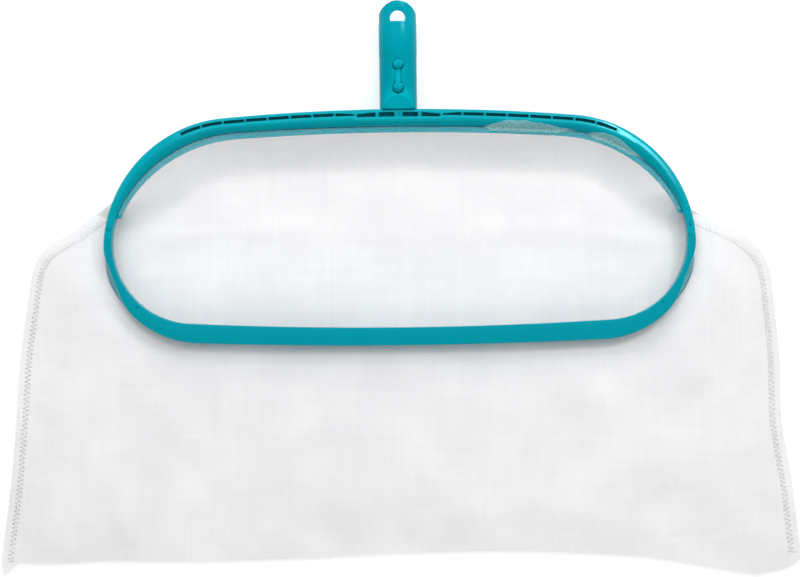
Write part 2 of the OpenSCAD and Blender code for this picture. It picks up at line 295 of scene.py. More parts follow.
# Polyester filament warp knitted as a fine net: matt white, open between the threads, so it takes a
# little of what lies behind it, with faint zigzag lines where the stitches lean one way, then the other
net = {"white": "#FAFAFB", "shade": "#F3F3F5", "roughness": 0.75, "threadMm": 1.1, "leanMm": 2.0,
       "handMm": 14, "open": 0.05, "speckle": 0.0}


def knittedNet(name, look, closeness):
    # closeness is how much of the cloth is thread and not hole, from 0 to 1
    material, tree, shader = newMaterial(name)
    shader.inputs["Roughness"].default_value = look["roughness"]
    shader.inputs["Specular IOR Level"].default_value = 0.15
    shader.inputs["Sheen Weight"].default_value = 0.08
    where = addNode(tree, "ShaderNodeTexCoord").outputs["Object"]
    apart = addNode(tree, "ShaderNodeSeparateXYZ", links={0: where})

    def lines(value, pitch):
        turned = addNode(tree, "ShaderNodeMath",
                         {"operation": "MULTIPLY", 1: 2 * math.pi / (pitch * mm)}, {0: value})
        wave = addNode(tree, "ShaderNodeMath", {"operation": "SINE"}, {0: turned.outputs[0]})
        return addNode(tree, "ShaderNodeMath", {"operation": "MULTIPLY_ADD", 1: 0.5, 2: 0.5},
                       {0: wave.outputs[0]}).outputs[0]

    # wales and courses are 0.25 mm apart, drawn at over 1 mm so that they show
    wale = lines(apart.outputs[0], look["threadMm"])
    course = lines(apart.outputs[1], look["threadMm"])
    threads = addNode(tree, "ShaderNodeMath", {"operation": "MAXIMUM"},
                      {0: wale, 1: course}).outputs[0]
    # the stitches lean up on one side of each band and down on the other
    folded = addNode(tree, "ShaderNodeMath", {"operation": "PINGPONG", 1: look["handMm"] * mm},
                     {0: apart.outputs[0]})
    diagonal = addNode(tree, "ShaderNodeMath", {"operation": "ADD"},
                       {0: folded.outputs[0], 1: apart.outputs[1]})
    lean = lines(diagonal.outputs[0], look["leanMm"])
    patchy = addNode(tree, "ShaderNodeTexNoise", {"Scale": 1 / (60 * mm), "Detail": 4.0},
                     {"Vector": where})
    fade = addNode(tree, "ShaderNodeMapRange", {"From Min": 0.42, "From Max": 0.66, "To Min": 0.15,
                                                "To Max": 1.0}, {"Value": patchy.outputs[0]})
    crossed = addNode(tree, "ShaderNodeMath", {"operation": "MULTIPLY_ADD", 1: 0.4},
                      {0: threads, 2: lean}).outputs[0]
    relief = addNode(tree, "ShaderNodeMath", {"operation": "MULTIPLY"},
                     {0: crossed, 1: fade.outputs[0]}).outputs[0]
    # slubs: single threads a little thicker than their neighbours, seen as faint lines both ways
    slub = []
    for along in ((1.0, 0.04, 1.0), (0.04, 1.0, 1.0)):
        drawn = addNode(tree, "ShaderNodeMapping", {"Scale": along}, {"Vector": where})
        slub.append(addNode(tree, "ShaderNodeTexNoise", {"Scale": 1 / (2.4 * mm), "Detail": 2.0},
                            {"Vector": drawn.outputs[0]}).outputs[0])
    slubs = addNode(tree, "ShaderNodeMath", {"operation": "ADD"},
                    {0: slub[0], 1: slub[1]}).outputs[0]
    mixed = addNode(tree, "ShaderNodeMath", {"operation": "MULTIPLY_ADD", 1: 0.6},
                    {0: slubs, 2: patchy.outputs[0]})
    share = addNode(tree, "ShaderNodeMapRange", {"From Min": 0.8, "From Max": 1.4},
                    {"Value": mixed.outputs[0]})
    tone = addNode(tree, "ShaderNodeMix", {"data_type": "RGBA", 6: linear(look["shade"]),
                                           7: linear(look["white"])}, {0: share.outputs[0]})
    tree.links.new(tone.outputs[2], shader.inputs["Base Color"])
    # what shows through: more where the knit opens, and in grains where the cloth is doubled or pulled
    grains = addNode(tree, "ShaderNodeTexNoise", {"Scale": 1 / (1.0 * mm), "Detail": 2.0},
                     {"Vector": where})
    grainy = addNode(tree, "ShaderNodeMapRange", {"From Min": 0.38, "From Max": 0.62,
                                                  "To Min": -look["speckle"],
                                                  "To Max": look["speckle"]},
                     {"Value": grains.outputs[0]})
    cover = addNode(tree, "ShaderNodeMapRange", {"From Min": 0.0, "From Max": 1.4,
                                                 "To Min": closeness - look["open"],
                                                 "To Max": closeness + look["open"]}, {"Value": relief})
    alpha = addNode(tree, "ShaderNodeMath", {"operation": "ADD", "use_clamp": True},
                    {0: cover.outputs[0], 1: grainy.outputs[0]})
    tree.links.new(alpha.outputs[0], shader.inputs["Alpha"])
    bump = addNode(tree, "ShaderNodeBump", {"Strength": 0.1, "Distance": 0.05 * mm},
                   {"Height": relief})
    tree.links.new(bump.outputs[0], shader.inputs["Normal"])
    return material


# Spun polyester sewing thread: brighter and rounder than the net, with a fine twist along it
thread = {"white": "#FFFFFF", "groove": "#F2F2F5", "roughness": 0.6, "twistMm": 0.8}


def spunThread(name, look):
    material, tree, shader = newMaterial(name)
    shader.inputs["Roughness"].default_value = look["roughness"]
    where = addNode(tree, "ShaderNodeTexCoord").outputs["Object"]
    twist = addNode(tree, "ShaderNodeTexWave", {"Scale": 0.32 / (look["twistMm"] * mm),
                                                "Distortion": 0.6, "bands_direction": "DIAGONAL"},
                    {"Vector": where})
    # the twist's grooves are painted a shade darker than the thread: painted shade, on top of the bump
    tone = addNode(tree, "ShaderNodeMix", {"data_type": "RGBA", 6: linear(look["groove"]),
                                           7: linear(look["white"])}, {0: twist.outputs[1]})
    tree.links.new(tone.outputs[2], shader.inputs["Base Color"])
    bump = addNode(tree, "ShaderNodeBump", {"Strength": 0.4, "Distance": 0.05 * mm},
                   {"Height": twist.outputs[1]})
    tree.links.new(bump.outputs[0], shader.inputs["Normal"])
    return material


lipTeal = mouldedPolypropylene("teal_lip_polypropylene", polypropylene)
# the bow, net strips and pins get a lighter teal than the lip: painted light standing in for how
# brightly the bow's band is lit
teal = mouldedPolypropylene("teal_bow_polypropylene", {
    **polypropylene, "teal": "#00A2B1", "flow": "#009BAA"})
# the lighter patch round the tongue's foot is painted light over the shade of that slope
tongueTeal = mouldedPolypropylene("teal_tongue_polypropylene", {
    **polypropylene, "teal": "#009FB0", "flow": "#0098A9", "gloss": 0.05, "paintedLight": "#00BCCB",
    "paintedLightAt": (0.0, (93 + ringY) * mm, 24 * mm), "paintedLightMm": (7, 15)})
# the clip is acetal for its spring: the same teal, a shade lighter and smoother
clipTeal = mouldedPolypropylene("teal_clip_acetal", {
    **polypropylene, "ior": 1.48, "gloss": 0.1, "roughness": 0.2, "teal": "#00A6B7", "flow": "#009FB0"})
bagCloth = knittedNet("knitted_polyester_net", net, 0.92)
# the doubled net is painted pale teal: painted light standing in for the bow's teal seen through it
hemCloth = knittedNet("single_polyester_net", {**net, "open": 0.03, "speckle": 0.06}, 0.06)
tealPaintedNet = knittedNet("doubled_polyester_net", {
    **net, "open": 0.08, "speckle": 0.12, "white": "#CDF6F4", "shade": "#B4EBE9"}, 0.42)
sewing = spunThread("spun_polyester_thread", thread)
print("materials made")

# The bow: rim, row of slots, raised band that falls to the net's ledge; the corners carry a soft ridge
bow = {"rimZ": 20.5, "rimW": 2.2, "rimSwell": 1.2, "swellAt": 31, "swellRun": 9,
       "slotW": 2.2, "wideSlotW": 3.4, "slotFloor": 14.2, "ribPitch": 16.5, "ribW": 1.6,
       "bandZ": 21.0, "bandEdgeZ": 17.4, "crownAt": 0.34, "crownRise": 0.5, "acrossBand": 9,
       "ridgeAt": 0.46, "ridgeOut": 18.6, "ridgeIn": 17.4, "flatZ": 19.6}
slots = [(3, 14.4), (17, 30.5), (33, 46.4)]
slots += [(48 + bow["ribPitch"] * i, 48 + bow["ribPitch"] * (i + 1) - bow["ribW"]) for i in range(7)]
wideUpTo = 31.7  # the rib where the two wide slots end


def inSlot(x):
    return any(near < abs(x) < far for near, far in slots)


def rimWidth(x):
    # the rim thickens where the wide slots give way to the narrow ones
    away = (abs(x) - bow["swellAt"]) / bow["swellRun"]
    return bow["rimW"] + bow["rimSwell"] * math.exp(-away ** 2)


def bowTop(d, width, x, y, bandStart):
    rounding = 0.9 * max(0.0, 1 - d / 1.1) ** 2
    across = min(1.0, max(0.0, (d - bandStart) / (width - bandStart)))
    fall = (across - bow["crownAt"]) / (1 - bow["crownAt"])
    climb = 1 - across / bow["crownAt"]
    band = bow["bandZ"] - (bow["crownRise"] * climb ** 2 if across < bow["crownAt"] else
                           (bow["bandZ"] - bow["bandEdgeZ"]) * fall ** 1.6)
    rim = bow["rimZ"] - rounding - 0.16 * max(0.0, bow["rimW"] - d)
    slotted = rim if d <= bandStart - 0.01 else band
    side = d / width - bow["ridgeAt"]
    reach = bow["ridgeAt"] if side < 0 else 1 - bow["ridgeAt"]
    foot = bow["ridgeOut"] if side < 0 else bow["ridgeIn"]
    ridge = bow["bandZ"] - (bow["bandZ"] - foot) * (abs(side) / reach) ** 1.6 - rounding * 0.5
    toCorner = smooth(150, 176, abs(x))
    flat = bow["flatZ"] - rounding - 0.6 * max(0.0, 1 - (width - d) / 0.8) ** 2
    toEnd = smooth(34, 2, y) if abs(x) > 100 else 0.0
    top = slotted + (ridge - slotted) * toCorner
    return top + (flat - top) * toEnd


def bowSection(station, width, grooved, under):
    x, y, h = station
    bandStart = bow["rimW"] + (bow["wideSlotW"] if abs(x) < wideUpTo else bow["slotW"])
    outward = (math.sin(h), -math.cos(h))
    rimW = rimWidth(x)
    rim = [0.0, 0.2, 0.55, 1.1, rimW - 0.2, rimW]
    band = [bandStart + 0.25 + (width - bandStart - 0.25) * k / bow["acrossBand"]
            for k in range(bow["acrossBand"] + 1)]
    points = [(0.0, under)]
    points += [(d, bowTop(d, width, x, y, bandStart)) for d in rim]
    floor = bow["slotFloor"]
    low = [floor, floor] if grooved else [bowTop(rimW, width, x, y, bandStart) - 0.02,
                                         bowTop(bandStart + 0.01, width, x, y, bandStart) - 0.02]
    points += [(rimW + 0.01, low[0]), (bandStart, low[1])]
    edge = bowTop(bandStart + 0.01, width, x, y, bandStart) - 0.15
    points += [(bandStart + 0.01, edge)]
    points += [(d, bowTop(d, width, x, y, bandStart)) for d in band]
    points += [(width, under)]
    return [place(x - d * outward[0], y - d * outward[1], z) for d, z in points]


def lineOf(edge, grow=0.0):
    return np.array([(x, y) for x, y, h in outline(edge, grow)])


def between(a, b, share):
    return tuple(p + (q - p) * share for p, q in zip(a, b))


def cutAt(stations, axis, values, nudge=0.01):
    # adds two stations close together wherever the path crosses one of the values
    made = []
    for a, b in zip(stations, stations[1:]):
        made.append(a)
        crossed = [v for v in values if (a[axis] - v) * (b[axis] - v) < 0]
        for v in sorted(crossed, reverse=a[axis] > b[axis]):
            share = (v - a[axis]) / (b[axis] - a[axis])
            shift = nudge / abs(b[axis] - a[axis])
            made += [between(a, b, share - shift), between(a, b, share + shift)]
    return made + [stations[-1]]


def rotated(stations, first):
    return stations[first:] + stations[:first]


outerStations = outline(ring["outer"])
bandLine = lineOf(ring["band"])


def makeBow():
    # from the right joint over the top to the left joint
    ends = [s for s in outerStations if s[1] > ring["lapLow"] - ring["step"]]
    slotEdges = [side * edge for near, far in slots for edge in (near, far) for side in (-1, 1)]
    upper = cutAt(ends, 0, slotEdges)
    upper = cutAt(upper, 1, [ring["lapLow"], ring["lapHigh"]])
    upper = [s for s in upper if s[1] >= ring["lapLow"] - 0.005]
    sections = []
    for station in upper:
        lap = station[1] < ring["lapHigh"]
        under = ring["lapZ"] + ring["lapGap"] if lap else ring["under"]
        sections.append(bowSection(station, widthTo(station, bandLine), inSlot(station[0]), under))
    piece = sweep("bow", sections, teal)
    px, py = ring["pin"]
    centreY = max(s[1] for s in outerStations) - bow["rimW"] - bow["wideSlotW"] / 2
    cutHoles(piece, [(px, py, 5, 25, ring["pinR"]), (-px, py, 5, 25, ring["pinR"]),
                     (0, centreY, bow["rimZ"] - 0.5, 25, 1.0)])
    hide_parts("upper_bow")
    return piece


# The lip: a flat face with softly rounded edges, whose outer wall leans out round the lower corners
lip = {"faceZ": 19.5, "flare": 3.0, "footOut": 1.6, "flareFrom": -10, "flareTo": -62,
       "grooveIn": 1.0, "grooveOut": 4.6, "grooveTop": 12.0, "notchAt": (193.6, -54.4)}


def lipSection(station, width, lap, grooved):
    x, y, h = station
    outward = (math.sin(h), -math.cos(h))
    lean = lip["flare"] * smooth(lip["flareFrom"], -34, y) * (1 - smooth(-36, lip["flareTo"], y))
    top = ring["lapZ"] if lap else lip["faceZ"]
    edge = 0.0 if lap else lean
    crown = 0.0 if lap else 0.12
    foot = -lip["footOut"] * edge / lip["flare"]
    points = [(foot, ring["under"]), (foot, ring["under"] + 1.0), (edge * 0.96, top - 0.7),
              (edge + 0.1, top - 0.25), (edge + 0.3, top - 0.05), (edge + 0.8, top)]
    points += [(edge + (width - edge) * k, top + crown) for k in (0.35, 0.5, 0.65)]
    points += [(width - 1.0, top), (width - 0.4, top - 0.12), (width - 0.1, top - 0.45),
               (width, top - 1.0), (width, ring["under"])]
    grooveTop = lip["grooveTop"] if grooved else ring["under"]
    inEdge, outEdge = width - lip["grooveIn"], width - lip["grooveOut"]
    points += [(inEdge, ring["under"]), (inEdge, grooveTop), (outEdge, grooveTop),
               (outEdge, ring["under"])]
    return [place(x - d * outward[0], y - d * outward[1], z) for d, z in points]


def makeLip():
    half = len(outerStations) // 2
    around = rotated(outerStations, half)
    cuts = [ring["lapLow"] - ring["lapGap"], ring["lapHigh"] - ring["lapGap"], ring["lapLow"] - 2]
    lower = cutAt([s for s in around if s[1] < ring["lapHigh"] + ring["step"]], 1, cuts)
    lower = [s for s in lower if s[1] <= ring["lapHigh"] - ring["lapGap"] + 0.005]
    sections = [lipSection(s, widthTo(s, bandLine), s[1] > ring["lapLow"] - ring["lapGap"],
                           s[1] < ring["lapLow"] - 2) for s in lower]
    piece = sweep("lip", sections, lipTeal)
    px, py = ring["pin"]
    nx, ny = lip["notchAt"]
    cutHoles(piece, [(px, py, 5, 25, ring["pinR"]), (-px, py, 5, 25, ring["pinR"]),
                     (nx, ny, 18.2, 25, 0.7), (-nx, ny, 18.2, 25, 0.7)])
    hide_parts("lower_lip", "left_lip_corner", "right_lip_corner")
    return piece


makeBow()
makeLip()
print("ring made")


def finishPlastic(node, material, rounding):
    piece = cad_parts[node]
    piece.data.materials.clear()
    piece.data.materials.append(material)
    weld = piece.modifiers.new("weld", "WELD")
    weld.merge_threshold = 0.002 * mm
    bevel = piece.modifiers.new("rounding", "BEVEL")
    bevel.width = rounding * mm
    bevel.segments = 2
    bevel.limit_method = "ANGLE"
    bevel.angle_limit = math.radians(40)
    bevel.use_clamp_overlap = True
    bevel.harden_normals = False


plastics = {"pole_tongue": 0.5, "upper_net_strip": 0.3, "lower_net_strip": 0.3,
            "left_net_strip": 0.3, "right_net_strip": 0.3,
            "left_joint_pin": 0.15, "right_joint_pin": 0.15}
for node, rounding in plastics.items():
    finishPlastic(node, tongueTeal if node == "pole_tongue" else teal, rounding)
for node in ("spring_clip", "clip_arm"):
    finishPlastic(node, clipTeal, 0.25)

# The buttons: round studs whose tops fall away towards the ring; the CAD's own ramps face the tip
button = {"falls": {"upper_button": 2.0, "lower_button": 3.1}, "dome": 0.3, "around": 40,
          "steps": (1.0, 0.96, 0.88, 0.7, 0.5, 0.3, 0.12)}


def makeButton(node, fall):
    low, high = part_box(node)
    x, y = (low.x + high.x) / 2 / mm, (low.y + high.y) / 2 / mm - ringY
    r = (high.x - low.x) / 2 / mm
    rings = [[place(x + r * math.cos(a), y + r * math.sin(a), low.z / mm)
              for a in (2 * math.pi * k / button["around"] for k in range(button["around"]))]]
    for share in button["steps"]:
        level = []
        for k in range(button["around"]):
            a = 2 * math.pi * k / button["around"]
            towardsRing = max(0.0, -math.sin(a) * share)
            z = high.z / mm - button["dome"] * share ** 4 - fall * towardsRing ** 2
            level.append(place(x + r * share * math.cos(a), y + r * share * math.sin(a), z))
        rings.append(level)
    piece = sweep(node + "_stud", rings, clipTeal, body="clip_lever")
    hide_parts(node)


for node, fall in button["falls"].items():
    makeButton(node, fall)
print("tongue and clip finished")

# The bag's edge in millimetres from the ring's centre: shoulders and sides are sewn, the bottom is
# a fold
bag = {
    "right": [(212, 16), (235, 5), (251, -2), (261, -10), (268.5, -17), (275, -32), (278, -55),
              (282, -99), (283, -144), (290, -189), (294, -223), (296, -241)],
    "bottom": [(296, -247), (286, -253.5), (270, -257), (259, -258), (229, -252.5), (185, -245),
               (147, -242), (73, -239), (-2, -240), (-76, -243), (-151, -244.5), (-218, -243.5),
               (-255, -245), (-278, -244.5), (-285, -244), (-294, -251)],
    "left": [(-297, -252.5), (-299, -247), (-298, -235), (-291, -183), (-287, -138), (-283.5, -93),
             (-277, -49), (-273, -26), (-265, -12), (-254, -4), (-241, 3), (-232, 10), (-212, 24)],
    "grid": 4.2, "thick": 0.35, "backZ": 0.7, "edgeZ": 1.5,
    "ledgeZ": 16.1, "ledgeRun": 27, "ledgeRows": (1.2, 2.6, 4.4, 6.8, 10, 14, 19), "hemEndY": 14,
    "lipUnder": 7.9, "pocketRun": 120, "edgeRun": 70,
    "cuff": 2.4, "cuffAt": 4.5, "cuffRun": 4.5,
}


def curveThrough(points, step):
    # a smooth line through given points
    made = []
    p = [points[0]] + list(points) + [points[-1]]
    for i in range(1, len(p) - 2):
        a, b, c, d = (Vector(q) for q in p[i - 1:i + 3])
        count = max(1, round((c - b).length / step))
        for k in range(count):
            t = k / count
            made.append(tuple(0.5 * (2 * b + (c - a) * t + (2 * a - 5 * b + 4 * c - d) * t * t
                                     + (3 * b - a - 3 * c + d) * t ** 3)))
    return made + [tuple(points[-1])]


rightSeam = curveThrough(bag["right"], bag["grid"])
leftSeam = curveThrough(bag["left"], bag["grid"])
bottomFold = curveThrough([rightSeam[-1]] + bag["bottom"] + [leftSeam[0]], bag["grid"])
bagRim = rightSeam + bottomFold[1:-1] + leftSeam


def distances(points, line, closed=False):
    # shortest distance from each point to a polyline
    points, line = np.asarray(points, float), np.asarray(line, float)
    a = line if closed else line[:-1]
    b = np.roll(line, -1, axis=0) if closed else line[1:]
    best = np.full(len(points), 1e9)
    for start, end in zip(a, b):
        d = end - start
        share = np.clip(((points - start) @ d) / max(d @ d, 1e-9), 0, 1)
        best = np.minimum(best, np.linalg.norm(points - start - share[:, None] * d, axis=1))
    return best


def inside(points, line):
    points, line = np.asarray(points, float), np.asarray(line, float)
    nextLine = np.roll(line, -1, axis=0)
    found = np.zeros(len(points), bool)
    for (ax, ay), (bx, by) in zip(line, nextLine):
        if ay == by:
            continue
        crosses = ((points[:, 1] > ay) != (points[:, 1] > by)) & (
            points[:, 0] < (bx - ax) * (points[:, 1] - ay) / (by - ay) + ax)
        found ^= crosses
    return found


def fillOutline(rim, pitch, guides=()):
    # even triangles over the area inside a closed line, with rows of points along the guides
    rim = np.asarray(rim, float)
    low, high = rim.min(0), rim.max(0)
    rows = int((high[1] - low[1]) / (pitch * 0.866)) + 1
    columns = int((high[0] - low[0]) / pitch) + 2
    grid = [(low[0] + (c + 0.5 * (r % 2)) * pitch, low[1] + r * pitch * 0.866)
            for r in range(rows) for c in range(columns)]
    keep = inside(grid, rim) & (distances(grid, rim, closed=True) > pitch * 0.45)
    for guide in guides:
        keep &= distances(grid, guide) > pitch * 0.5
    points = [tuple(p) for p in rim] + [g for g, k in zip(grid, keep) if k]
    points += [p for guide in guides for p in guide[1:-1:2]]
    edges = [(i, (i + 1) % len(rim)) for i in range(len(rim))]
    made = geometry.delaunay_2d_cdt([Vector(p) for p in points], edges, [], 1, 1e-4)
    return [tuple(v) for v in made[0]], [tuple(f) for f in made[2]]


# Soft folds: (from, to, half width, height), in millimetres
backFolds = [
    ((-184, -6), (-140, -1), 5, 0.9), ((-140, -1), (-60, 2), 9, 0.8),
    ((120, -4), (206, -10), 6, 0.9), ((60, 0), (130, -6), 9, 0.7),
    ((-196, -34), (-172, -31), 4, 0.9), ((-182, 28), (-150, 38), 7, 1.8),
    ((150, 44), (186, 12), 10, 2.0), ((168, 52), (200, 20), 8, 1.6),
    ((132, 36), (168, 4), 12, 1.5), ((-176, 52), (-150, 60), 9, 1.4),
    ((-60, 40), (40, 36), 22, 0.9), ((-150, -40), (-60, -48), 16, 0.7),
    ((60, -44), (150, -40), 18, 0.7),
]
frontFolds = [
    ((-210, -198), (-204, -240), 8, 2.0), ((-150, -92), (-190, -176), 13, 1.6),
    ((-60, -96), (-84, -200), 18, 1.2), ((36, -96), (44, -210), 20, 1.0),
    ((132, -94), (156, -196), 16, 1.3),
    ((196, -70), (250, -150), 15, 1.6), ((226, -16), (262, -70), 10, 1.6),
    ((-226, -16), (-258, -80), 10, 1.6), ((-236, -110), (-262, -200), 12, 1.4),
    ((238, -190), (262, -246), 12, 1.6), ((-120, -190), (60, -216), 20, 0.9),
    ((90, -206), (200, -226), 14, 1.2), ((-252, -224), (-246, -244), 5, 1.5),
    ((100, -120), (190, -132), 20, 0.8),
]


def foldHeights(points, folds):
    points = np.asarray(points, float)
    total = np.zeros(len(points))
    for start, end, half, height in folds:
        a, d = np.array(start, float), np.subtract(end, start).astype(float)
        share = np.clip(((points - a) @ d) / (d @ d), 0, 1)
        away = np.linalg.norm(points - a - share[:, None] * d, axis=1)
        total += height * np.exp(-(away / half) ** 2) * (0.25 + 0.75 * np.sin(math.pi * share))
    return total


def rumple(points, size, height, seed):
    return np.array([noise.noise(Vector((x / size, y / size, seed))) * height for x, y in points])


def panel(name, rim, heights, material, guides=()):
    points, faces = fillOutline(rim, bag["grid"], guides)
    z = heights(points)
    piece = addPiece(name, [place(x, y, h) for (x, y), h in zip(points, z)], faces, material,
                     sharpAt=180)
    thicken(piece, bag["thick"])
    return piece


mouthStations = outline(ring["mouth"], -0.4)
ledgeLine = np.array([(x, y) for x, y, h in mouthStations if y > bag["hemEndY"]])


def backHeights(points):
    xy = np.array(points)
    ledge = distances(points, ledgeLine)
    climb = np.array([smooth(bag["hemEndY"] - 16, bag["hemEndY"] + 12, y) for x, y in points])
    rise = np.clip(1 - ledge / bag["ledgeRun"], 0, 1) ** 1.4 * (bag["ledgeZ"] - bag["backZ"])
    edge = np.clip(distances(points, bagRim) / 24, 0, 1)
    inMouth = np.clip(1 - np.abs(xy[:, 1]) / 90, 0, 1)
    wave = rumple(points, 46, 1.0, 3.1) + rumple(points, 17, 0.35, 8.4)
    folds = foldHeights(points, backFolds)
    near = np.clip(ledge / 10, 0, 1)
    return bag["backZ"] + rise * climb + edge * inMouth * near * np.maximum(0, 0.7 + wave + folds)


outerLine = np.array([(x, y) for x, y, h in outerStations])


def frontHeights(points):
    xy = np.array(points)
    fromLip = distances(points, outerLine, closed=True) * ~inside(points, outerLine)
    fromEdge = distances(points, bagRim)
    slope = np.exp(-(fromLip / bag["pocketRun"]) ** 1.3)
    reach = np.clip(fromEdge / bag["edgeRun"], 0, 1)
    reach = reach * (2 - reach)
    puff = (bag["lipUnder"] - bag["edgeZ"]) * reach * (0.34 + 0.66 * slope)
    under = inside(points, outerLine)
    calm = np.clip(fromLip / 16, 0, 1) * np.clip(fromEdge / 26, 0, 1)
    wave = rumple(points, 52, 1.5, 5.7) + rumple(points, 20, 0.5, 1.3)
    gather = 0.22 * np.sin(xy[:, 0] / 2.2 + 3 * np.sin(xy[:, 0] / 31)) * np.exp(-fromLip / 16)
    cuff = np.exp(-((fromLip - bag["cuffAt"]) / bag["cuffRun"]) ** 2)
    puff += bag["cuff"] * cuff * ~under * reach
    folds = foldHeights(points, frontFolds)
    z = bag["edgeZ"] + puff + calm * (wave + folds) + gather * ~under
    return np.maximum(z, bag["edgeZ"] - 0.2)


def makeBag():
    ledge = [(x, y) for x, y, h in mouthStations if y > bag["hemEndY"]]
    ledgeGuides = [[(x, y) for x, y, h in outline(ring["mouth"], -0.4 - away)
                    if y > bag["hemEndY"] + 1] for away in bag["ledgeRows"]]
    back = panel("net_back", ledge + leftSeam[::-1] + bottomFold[1:-1][::-1] + rightSeam[::-1],
                 backHeights, bagCloth, ledgeGuides)
    start = len(outerStations) // 2
    lipEdge = [(x, y) for x, y, h in rotated(outline(ring["band"], 4.0), start) if y < 11]
    front = panel("net_front", lipEdge + bagRim, frontHeights, bagCloth)
    return back, front


netBack, netFront = makeBag()
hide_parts("net_back_panel")
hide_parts("net_front_panel", "net_left_border", "net_right_border", "net_bottom_border",
            "net_left_shoulder", "net_right_shoulder")
print("bag made")

# Where the net is pressed round the ledge: a narrow hem, with two places where its edge slipped out
hem = {"top": 16.75, "bulges": [(62, 83, 131, 5.0), (139, 153, 181, 3.4)], "wavy": 0.7}


def bulgeAt(x):
    for start, peak, end, height in hem["bulges"]:
        if start < x < end:
            share = (x - start) / (peak - start) if x < peak else (end - x) / (end - peak)
            return height * math.sin(math.pi / 2 * share) ** 1.6
    return 0.0


def bandHeight(x, y, d, width):
    bandStart = bow["rimW"] + bow["slotW"]
    return bowTop(d, width, x, y, bandStart)


def makeUpperHem():
    bandStations = [s for s in outline(ring["band"]) if s[1] > bag["hemEndY"] - 1]
    mouth = lineOf(ring["mouth"], -0.55)
    rows = []
    for x, y, h in bandStations:
        width = widthTo((x, y, h), mouth)
        outward = (math.sin(h), -math.cos(h))
        end = smooth(bag["hemEndY"], bag["hemEndY"] + 10, y)
        lift = 0.25 * noise.noise(Vector((x / 9, y / 9, 2.2))) * end
        rowPoints = [(-width - 0.05, hem["top"] - 3.0), (-width - 0.02, hem["top"] - 0.5),
                     (-width + 0.35, hem["top"] + 0.02), (-width * 0.55, hem["top"] + 0.1 + lift),
                     (-0.35, hem["top"] + 0.05)]
        rows.append([place(x + d * outward[0], y + d * outward[1], z) for d, z in rowPoints])
    piece = sweep("upper_hem_net", rows, hemCloth, closed=False, ends=False)
    thicken(piece, 0.25)
    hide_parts("upper_hem")
    return piece


def makeBulge(name, bulge):
    start, peak, end, height = bulge
    rows = []
    stations = [s for s in outline(ring["band"]) if s[1] > 0 and start < s[0] < end]
    outer = lineOf(ring["outer"])
    for x, y, h in stations:
        outward = (math.sin(h), -math.cos(h))
        width = widthTo((x + 60 * outward[0], y + 60 * outward[1], h), outer)
        bandW = 60 - width
        rise = bulgeAt(x)
        taper = min(1.0, rise / 1.2)
        reach = rise + hem["wavy"] * noise.noise(Vector((x / 5, 4.4, 0))) * taper
        points = [(-3.0 * taper, hem["top"] + 0.35), (-1.5 * taper, hem["top"] + 0.7),
                  (-0.2 * taper, hem["top"] + 1.3)]
        for share in (0.35, 0.7, 1.0):
            d = max(0.1, reach * share)
            points.append((d, bandHeight(x, y, bandW - d, bandW) + 0.35 + 0.5 * (1 - share)))
        rows.append([place(x + d * outward[0], y + d * outward[1], z) for d, z in points])
    piece = sweep(name, rows, tealPaintedNet, closed=False, ends=False)
    return piece


# Under the lip the net goes up one side of the strip, over it and down into the pocket
def makeLowerHem():
    stations = [s for s in rotated(outline(ring["band"]), len(outerStations) // 2) if s[1] < -8]
    rows = []
    for x, y, h in stations:
        outward = (math.sin(h), -math.cos(h))
        sag = 0.25 * noise.noise(Vector((x / 7, y / 7, 6.6)))
        rowPoints = [(4.1, 7.9 + sag), (4.15, 9.0), (4.1, 11.2), (3.7, 11.7), (2.4, 11.75),
                     (1.5, 11.6), (1.12, 11.0), (1.1, 8.9 + sag)]
        rows.append([place(x + d * outward[0], y + d * outward[1], z) for d, z in rowPoints])
    piece = sweep("lower_hem_net", rows, bagCloth, closed=False, ends=False)
    thicken(piece, 0.25)
    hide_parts("lower_hem")
    return piece


upperHem = makeUpperHem()
bulges = [makeBulge(f"hem_bulge_{i + 1}", b) for i, b in enumerate(hem["bulges"])]
lowerHem = makeLowerHem()
print("hems made")

# Side seams: the allowance lies as a second layer inside the edge, held by a zigzag
seam = {"width": 7.0, "inset": 1.6, "endY": -243, "lift": 0.3,
        "zigzag": 3.2, "zigzagW": 4.6, "threadR": 0.2}


def insetLine(line, away):
    # a line moved to the right of its own walk, which is into the bag
    made = []
    for i in range(len(line)):
        a, b = Vector(line[max(0, i - 1)]), Vector(line[min(len(line) - 1, i + 1)])
        d = (b - a).normalized()
        made.append((line[i][0] + d.y * away, line[i][1] - d.x * away))
    return made


def stitchHeight(points):
    return frontHeights(points) + seam["lift"]


